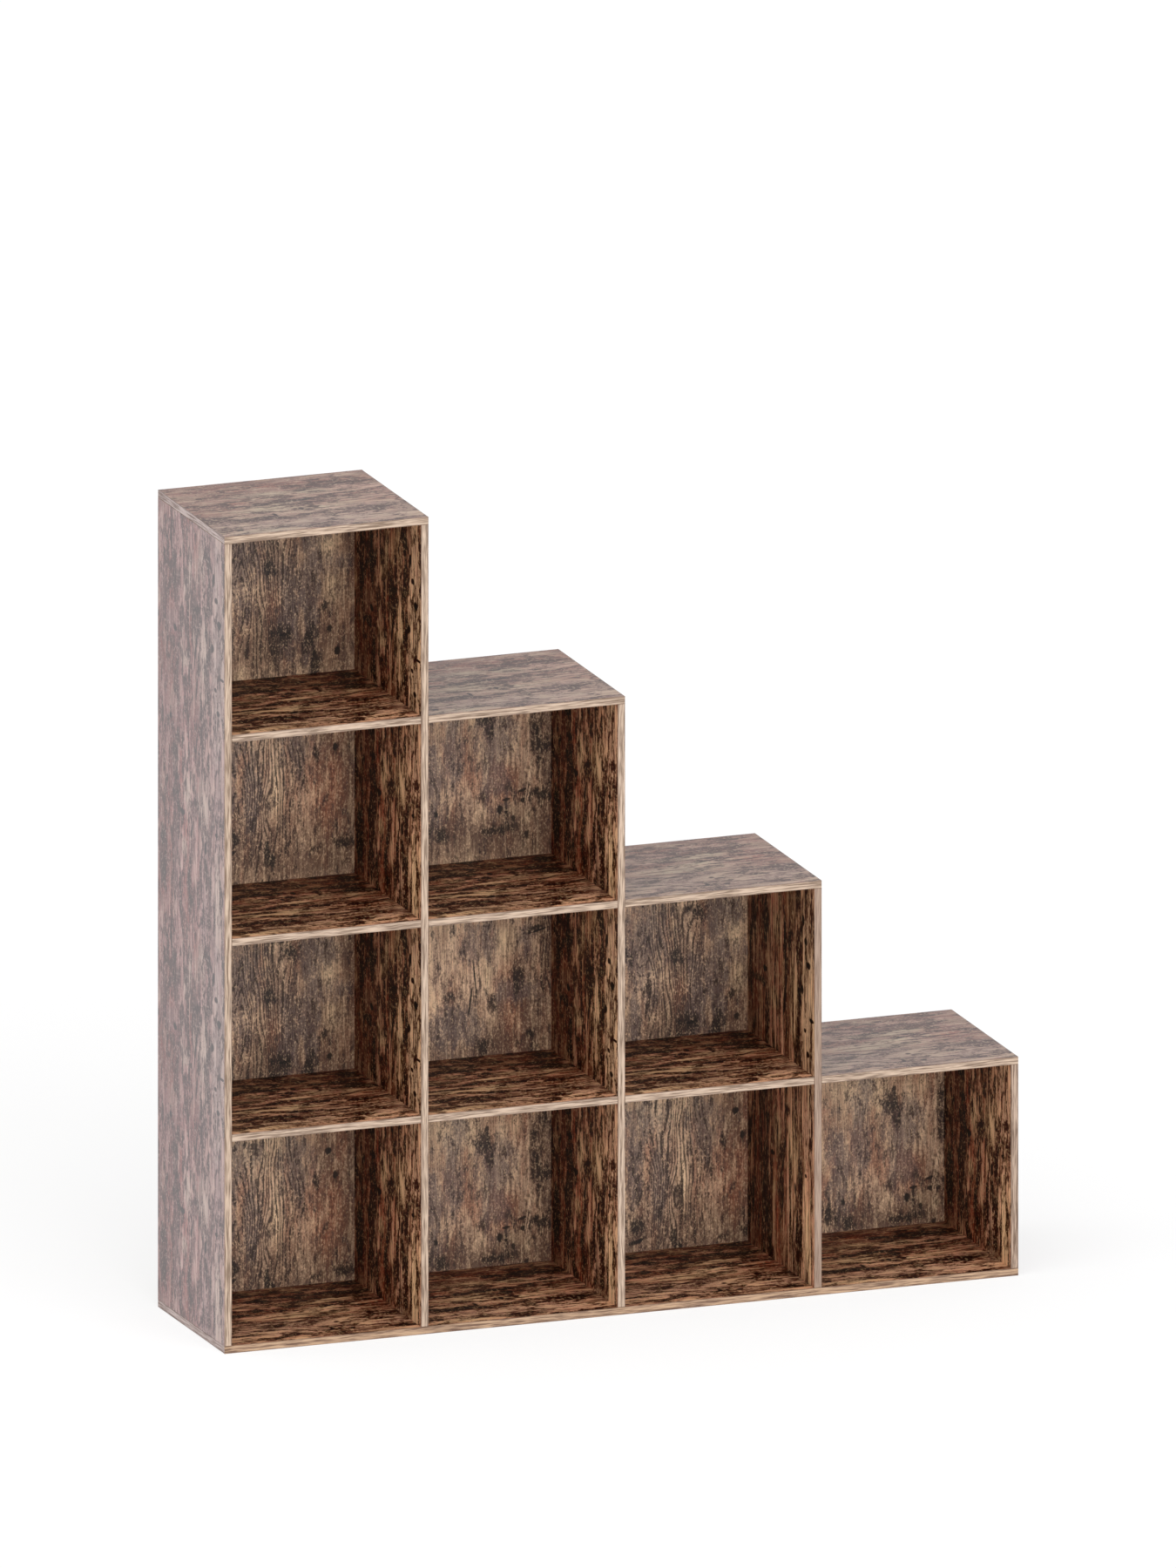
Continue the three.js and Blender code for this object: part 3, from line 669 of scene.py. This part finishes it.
def welded(node):
    """A CAD board's mesh, with its doubles merged and each flat face made whole."""
    mesh = bmesh.new()
    mesh.from_mesh(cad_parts[node].data)
    bmesh.ops.remove_doubles(mesh, verts=mesh.verts, dist=WELD)
    bmesh.ops.dissolve_limit(mesh, angle_limit=math.radians(FLAT), verts=mesh.verts, edges=mesh.edges)
    return mesh


def core_box(mesh, wide):
    """A board's own corners, without the dowels that stand out of its ends. wide is its thin axis."""
    reach = [max(v.co[wide] for v in mesh.verts), min(v.co[wide] for v in mesh.verts)]
    broad = [v.co for f in mesh.faces for v in f.verts
             if abs(f.normal[wide]) > 0.99 and min(abs(v.co[wide] - r) for r in reach) < WELD * 5]
    return tuple(Vector(pick(corner[axis] for corner in broad) for axis in range(3)) for pick in (min, max))


def trim(mesh, place, outwards):
    """Cuts a board back to a plane, to make room for the band that is glued on there."""
    everything = mesh.verts[:] + mesh.edges[:] + mesh.faces[:]
    cut = bmesh.ops.bisect_plane(mesh, geom=everything, plane_co=place, plane_no=outwards, clear_outer=True,
                                 dist=WELD)
    rim = [e for e in cut["geom_cut"] if isinstance(e, bmesh.types.BMEdge)]
    bmesh.ops.contextual_create(mesh, geom=rim)
    mesh.normal_update()


def lay_print(mesh, grain, starts):
    """Lays the print's map on a mesh, in metres. grain is its axis, and starts is where u and v are 0."""
    layer = mesh.loops.layers.uv.new(PRINT_MAP)
    for face in mesh.faces:
        far_side = face.normal.x > 0.5 if grain == 2 else face.normal.z < -0.5
        for loop in face.loops:
            place = loop.vert.co
            across = place.y if abs(face.normal.y) < 0.7 else place.y + place[2 - grain]
            along = place[grain] + (FAR_SIDE_OF_PRINT if far_side else 0)
            loop[layer].uv = (across - starts[0], along - starts[1])


def band_strip(mesh, low, high, side):
    """Adds one strip of edging to a mesh and gives its outer edges. side is the way it faces."""
    strip = bmesh.ops.create_cube(mesh, size=1.0)["verts"]
    centre, size = (low + high) / 2, high - low
    for vertex in strip:
        vertex.co = centre + Vector(a * b for a, b in zip(vertex.co, size))
    outer = [v for v in strip if (v.co - centre).dot(side) > 0]
    return [e for e in mesh.edges if e.verts[0] in outer and e.verts[1] in outer]


def dress_board(node, wide, skins, starts, band, banded_ends=()):
    """Replaces a CAD board by its finished copy and glues its edging on. skins are the foils of its low and
    high faces, starts is where its print begins, and banded_ends are the ends that have edging too.
    """
    grain = 2 - wide
    mesh = welded(node)
    low, high = core_box(mesh, wide)
    inner_low, inner_high = low.copy(), high.copy()
    inner_low.y += BAND_THICKNESS
    trim(mesh, inner_low, (0, -1, 0))
    for side in banded_ends:
        if side < 0:
            inner_low[grain] += BAND_THICKNESS
        else:
            inner_high[grain] -= BAND_THICKNESS
        outwards = [0, 0, 0]
        outwards[grain] = side
        trim(mesh, inner_low if side < 0 else inner_high, outwards)

    # Only the board's own outer edges are eased, away from the bands
    def on_rim(edge):
        large = len(edge.link_faces) == 2 and min(f.calc_area() for f in edge.link_faces) > LARGE_FACE
        middle = (edge.verts[0].co + edge.verts[1].co) / 2
        trimmed = [(inner_low if side < 0 else inner_high)[grain] for side in banded_ends]
        by_band = middle.y < inner_low.y + WELD or any(abs(middle[grain] - end) < WELD for end in trimmed)
        return large and not by_band and edge.calc_face_angle(0) > SHARP

    rims = [edge for edge in mesh.edges if on_rim(edge)]
    bmesh.ops.bevel(mesh, geom=rims, offset=BOARD_ROUND, segments=2, profile=0.5, affect="EDGES",
                    clamp_overlap=True)
    mesh.normal_update()
    for face in mesh.faces:
        middle = face.calc_center_median()
        on_low = face.normal[wide] < -0.5 and middle[wide] < low[wide] + BOARD_ROUND
        on_high = face.normal[wide] > 0.5 and middle[wide] > high[wide] - BOARD_ROUND
        beyond = not low[grain] - WELD <= middle[grain] <= high[grain] + WELD
        face.material_index = 0 if on_low else 1 if on_high else 3 if beyond else 2
    lay_print(mesh, grain, starts)
    materials = [foil[skins[0]], foil[skins[1]], raw_board, beech]
    new_piece(node + "_board", mesh, materials, node)

    bands = bmesh.new()
    outer_low, outer_high = low.copy(), high.copy()
    outer_high.y = inner_low.y
    outer_edges = band_strip(bands, outer_low, outer_high, Vector((0, -1, 0)))
    for side in banded_ends:
        end_low, end_high = low.copy(), high.copy()
        end_low.y = inner_low.y
        if side < 0:
            end_high[grain] = inner_low[grain]
        else:
            end_low[grain] = inner_high[grain]
        outwards = Vector((0, 0, 0))
        outwards[grain] = side
        outer_edges += band_strip(bands, end_low, end_high, outwards)
    # One bevel rounds all the strips: a bevel for each would leave the faces in another order on each run
    bmesh.ops.bevel(bands, geom=outer_edges, offset=BAND_ROUND, segments=3, profile=0.5, affect="EDGES")
    bands.normal_update()
    layer = bands.loops.layers.uv.new(PRINT_MAP)
    for face in bands.faces:
        at_end = face.calc_center_median().y > inner_low.y + WELD
        face.material_index = 1 if at_end else 0
        for loop in face.loops:
            place = loop.vert.co
            along = place.y if at_end else place[grain]
            offset = BAND_OFFSETS[0] * low[wide] + BAND_OFFSETS[1] * low[grain]
            loop[layer].uv = (place[wide] - low[wide], along + offset)
    new_piece(node + "_edge_bands", bands, [edge_foil[band], edge_foil["end"]])


def dress_back_panel(node):
    """Replaces a CAD back panel by its finished copy: print in front, bare fibre behind."""
    mesh = welded(node)
    low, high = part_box(node)
    for vertex in mesh.verts:
        if vertex.co.y > high.y - WELD:
            vertex.co.y -= REAR_SKIN
    sharp = [e for e in mesh.edges if e.calc_face_angle(0) > SHARP]
    bmesh.ops.bevel(mesh, geom=sharp, offset=BOARD_ROUND / 2, segments=1, affect="EDGES")
    mesh.normal_update()
    layer = mesh.loops.layers.uv.new(PRINT_MAP)
    for face in mesh.faces:
        face.material_index = 0 if face.normal.y < -0.9 else 1
        for loop in face.loops:
            loop[layer].uv = (loop.vert.co.x - LEFT, loop.vert.co.z)
    new_piece(node + "_sheet", mesh, [printed_hardboard, raw_hardboard], node)


def nail_lines():
    """The lines along which the back panels are nailed: down both edges, and across each level's board."""
    places, lines = [], []

    def line(start, end):
        lines.append((len(places), len(places) + 1))
        places.extend((start, end))

    face = REAR - REAR_SKIN - NAIL_SUNK
    for column in range(1, 5):
        low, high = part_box(f"back_panel_column_{column}")
        for x in (low.x + NAIL_EDGE, high.x - NAIL_EDGE):
            line((x, face, low.z + 2 * NAIL_EDGE), (x, face, high.z - 2 * NAIL_EDGE))
        boards = ["base_board", f"top_board_column_{column}"]
        boards += [f"shelf_column_{column}_level_{level}" for level in range(1, 5 - column)]
        for board in boards:
            board_low, board_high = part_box(board)
            z = (board_low.z + board_high.z) / 2
            line((low.x + NAIL_SPACING / 2, face, z), (high.x - NAIL_SPACING / 2, face, z))
    return places, lines


def nail_tree():
    """Nails spaced along lines, as Geometry Nodes: a low chamfered head on each place, a little astray."""
    tree = bpy.data.node_groups.new("panel_nails", "GeometryNodeTree")
    tree.is_modifier = True
    for label, kind in (("Lines", "Geometry"), ("Spacing", "Float"), ("Head radius", "Float"),
                        ("Head height", "Float"), ("Stray", "Vector"), ("Seed", "Int")):
        tree.interface.new_socket(label, in_out="INPUT", socket_type="NodeSocket" + kind)
    tree.interface.new_socket("Nails", in_out="OUTPUT", socket_type="NodeSocketGeometry")
    given = add(tree, "NodeGroupInput", {}).outputs
    lines = add(tree, "GeometryNodeMeshToCurve", {}, given["Lines"])
    spaced = add(tree, "GeometryNodeResampleCurve", {"mode": "LENGTH"}, Curve=lines, Length=given["Spacing"])
    back = add(tree, "ShaderNodeVectorMath", {"operation": "SCALE"}, given["Stray"], Scale=-1.0)
    stray = add(tree, "FunctionNodeRandomValue", {"data_type": "FLOAT_VECTOR"}, back, given["Stray"],
                Seed=given["Seed"])
    placed = add(tree, "GeometryNodeSetPosition", {}, spaced, Offset=stray)
    chamfer = add(tree, "ShaderNodeMath", {"operation": "MULTIPLY"}, given["Head radius"], NAIL_CHAMFER)
    head = add(tree, "GeometryNodeMeshCone", {"fill_type": "NGON"}, Vertices=NAIL_SIDES, Radius_Top=chamfer,
               Radius_Bottom=given["Head radius"], Depth=given["Head height"])
    heads = add(tree, "GeometryNodeInstanceOnPoints", {}, Points=placed, Instance=head.outputs["Mesh"],
                Rotation=(math.radians(-90), 0, 0))
    real = add(tree, "GeometryNodeRealizeInstances", {}, heads)
    finished = add(tree, "GeometryNodeSetMaterial", {}, real, Material=plated_steel)
    add(tree, "NodeGroupOutput", {}, finished)
    return tree


def drive_nails():
    """Makes the nails of all back panels, as one piece."""
    places, lines = nail_lines()
    data = bpy.data.meshes.new("nail_lines")
    data.from_pydata(places, lines, [])
    guide = bpy.data.objects.new("nail_lines", data)
    bpy.context.scene.collection.objects.link(guide)
    modifier = guide.modifiers.new("panel_nails", "NODES")
    modifier.node_group = nail_tree()
    sizes = {"Spacing": NAIL_SPACING, "Head radius": NAIL_HEAD, "Head height": NAIL_HEIGHT,
             "Stray": (NAIL_STRAY, 0.0, NAIL_STRAY), "Seed": NAIL_SEED}
    for socket in modifier.node_group.interface.items_tree:
        if socket.name in sizes:
            modifier[socket.identifier] = sizes[socket.name]
    bpy.context.view_layer.update()
    evaluated = guide.evaluated_get(bpy.context.evaluated_depsgraph_get())
    nails = bpy.data.meshes.new_from_object(evaluated)
    nails.name = "back_panel_nails"
    bpy.data.objects.remove(guide)
    piece = bpy.data.objects.new("back_panel_nails", nails)
    bpy.context.scene.collection.objects.link(piece)
    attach(piece, "root")


def cover_cam(upright, face):
    """A thin cap over the cam near an upright's top, flush with its right face."""
    cam_low, cam_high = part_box(f"cam_{upright}_top")
    centre = Vector((0, (cam_low.y + cam_high.y) / 2, (cam_low.z + cam_high.z) / 2))
    seat, crown = cam_high.x + CAP_GAP, face - CAP_GAP
    waist = (seat + crown) / 2
    profile = ((CAP_RADIUS, seat), (CAP_RADIUS, waist), (CAP_RADIUS * CAP_EASE, crown), (0, crown))
    mesh = bmesh.new()
    rings = []
    for radius, x in profile:
        turns = [2 * math.pi * side / CAP_SIDES for side in range(CAP_SIDES if radius else 1)]
        spokes = [Vector((x, radius * math.cos(turn), radius * math.sin(turn))) for turn in turns]
        rings.append([mesh.verts.new(centre + spoke) for spoke in spokes])
    for lower, upper in zip(rings, rings[1:]):
        for side in range(CAP_SIDES):
            after = (side + 1) % CAP_SIDES
            crown_edge = [upper[after], upper[side]] if len(upper) > 1 else [upper[0]]
            mesh.faces.new([lower[side], lower[after]] + crown_edge)
    mesh.faces.new(list(reversed(rings[0])))
    mesh.normal_update()
    new_piece(f"cover_cap_{upright}", mesh, [cap_plastic])


# The uprights' print starts at the front edge and at the floor
uprights = {
    "left_side": ("left_side_board", ("side", "upright"), "pale"),
    "upright_1": ("upright_1", ("upright", "upright"), "pale"),
    "upright_2": ("upright_2", ("upright", "upright"), "pale"),
    "upright_3": ("upright_3", ("striped", "striped"), "plain"),
    "right_side": ("right_side_board", ("upright", "side"), "dull"),
}
for node, skins, band in uprights.values():
    dress_board(node, 0, skins, (FRONT, 0), band)
dress_board("base_board", 2, ("base", "base"), (FRONT, LEFT), "tan", (-1, 1))
for column in range(1, 5):
    node = f"top_board_column_{column}"
    start = core_box(welded(node), 2)[0].x - TOP_PRINT_START[column] * MM
    dress_board(node, 2, ("base", "top"), (FRONT, start), "pale", (-1, 1) if column == 1 else (1,))
    for level in range(1, 5 - column):
        node = f"shelf_column_{column}_level_{level}"
        dress_board(node, 2, ("shelf", "shelf"), (FRONT, core_box(welded(node), 2)[0].x), "pale")
    dress_back_panel(f"back_panel_column_{column}")
drive_nails()
for upright, (node, _, _) in uprights.items():
    cover_cam(upright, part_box(node)[1].x)
for node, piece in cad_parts.items():
    if node.startswith(("cam_", "twin_bolt", "base_screw")):
        for slot in piece.material_slots:
            slot.material = plated_steel if "bolt" in node or "screw" in node else die_cast_zinc


# Studio

def towards(azimuth, elevation):
    """The direction out of the shelf's front, turned by an azimuth and raised by an elevation in degrees."""
    azimuth, elevation = math.radians(azimuth), math.radians(elevation)
    return Vector((math.sin(azimuth) * math.cos(elevation), -math.cos(azimuth) * math.cos(elevation),
                   math.sin(elevation)))


def place_camera():
    """The photograph's own view, a parallel projection."""
    outwards = towards(CAMERA_AZIMUTH, CAMERA_ELEVATION)
    right = Vector((0, 0, 1)).cross(outwards).normalized()
    up = outwards.cross(right)
    aside = (PHOTO_WIDTH / 2 - ORIGIN_PIXEL[0]) / PIXELS_PER_METRE
    above = (ORIGIN_PIXEL[1] - PHOTO_HEIGHT / 2) / PIXELS_PER_METRE
    lens = bpy.data.cameras.new("camera")
    lens.type = "ORTHO"
    lens.ortho_scale = PHOTO_HEIGHT / PIXELS_PER_METRE
    lens.clip_end = CAMERA_REACH
    camera = bpy.data.objects.new("camera", lens)
    camera.location = right * aside + up * above + outwards * CAMERA_DISTANCE
    camera.rotation_euler = outwards.to_track_quat("Z", "Y").to_euler()
    bpy.context.scene.collection.objects.link(camera)
    bpy.context.scene.camera = camera


def surround():
    """A soft studio, brighter in front of the shelf, that looks plain white to the camera and reflected."""
    world = bpy.data.worlds.new("studio")
    world.use_nodes = True
    bpy.context.scene.world = world
    tree = world.node_tree
    tree.nodes.clear()
    direction = add(tree, "ShaderNodeTexCoord", {}).outputs["Generated"]
    light = AMBIENT
    for azimuth, elevation, start, full, strength in GLOWS:
        middle = towards(azimuth, elevation)
        near = add(tree, "ShaderNodeVectorMath", {"operation": "DOT_PRODUCT"}, direction, middle)
        glow = add(tree, "ShaderNodeMapRange", {"interpolation_type": "SMOOTHSTEP"}, near.outputs["Value"],
                   start, full, 0, strength)
        light = add(tree, "ShaderNodeMath", {"operation": "ADD"}, glow, light)
    path = add(tree, "ShaderNodeLightPath", {}).outputs
    seen = add(tree, "ShaderNodeMath", {"operation": "MAXIMUM"}, path["Is Camera Ray"], path["Is Glossy Ray"])
    seen = add(tree, "ShaderNodeMath", {"operation": "MAXIMUM"}, seen, path["Is Transmission Ray"])
    strength = add(tree, "ShaderNodeMix", {"data_type": "FLOAT"}, seen, light, 1.0)
    background = add(tree, "ShaderNodeBackground", {}, linear("#ffffff"), strength)
    add(tree, "ShaderNodeOutputWorld", {}, background)


def pale_floor():
    """A pale floor that shows white round the shelf's shadow, and isn't seen from below."""
    mesh = bpy.data.meshes.new("floor")
    reach = FLOOR_SIZE / 2
    corners = [(x * reach, y * reach, -FLOOR_GAP) for x, y in ((-1, -1), (1, -1), (1, 1), (-1, 1))]
    mesh.from_pydata(corners, [], [range(4)])
    floor = bpy.data.objects.new("floor", mesh)
    bpy.context.scene.collection.objects.link(floor)
    material = bpy.data.materials.new("studio_floor")
    material.use_nodes = True
    tree = material.node_tree
    tree.nodes.clear()
    shown = add(tree, "ShaderNodeLightPath", {}).outputs["Is Camera Ray"]
    glow = add(tree, "ShaderNodeMix", {"data_type": "FLOAT"}, shown, FLOOR_BOUNCE_GLOW, FLOOR_SHOWN_GLOW)
    paint = add(tree, "ShaderNodeMix", {"data_type": "RGBA"}, shown, linear(FLOOR_BOUNCE_PAINT),
                linear(FLOOR_SHOWN_PAINT))
    matt = add(tree, "ShaderNodeBsdfDiffuse", {}, paint)
    emission = add(tree, "ShaderNodeEmission", {}, linear("#ffffff"), glow)
    top = add(tree, "ShaderNodeAddShader", {}, matt, emission)
    below = add(tree, "ShaderNodeNewGeometry", {}).outputs["Backfacing"]
    clear = add(tree, "ShaderNodeBsdfTransparent", {})
    both = add(tree, "ShaderNodeMixShader", {}, below, top, clear)
    add(tree, "ShaderNodeOutputMaterial", {}, both)
    mesh.materials.append(material)


place_camera()
surround()
pale_floor()
bpy.context.scene.view_settings.view_transform = "Standard"
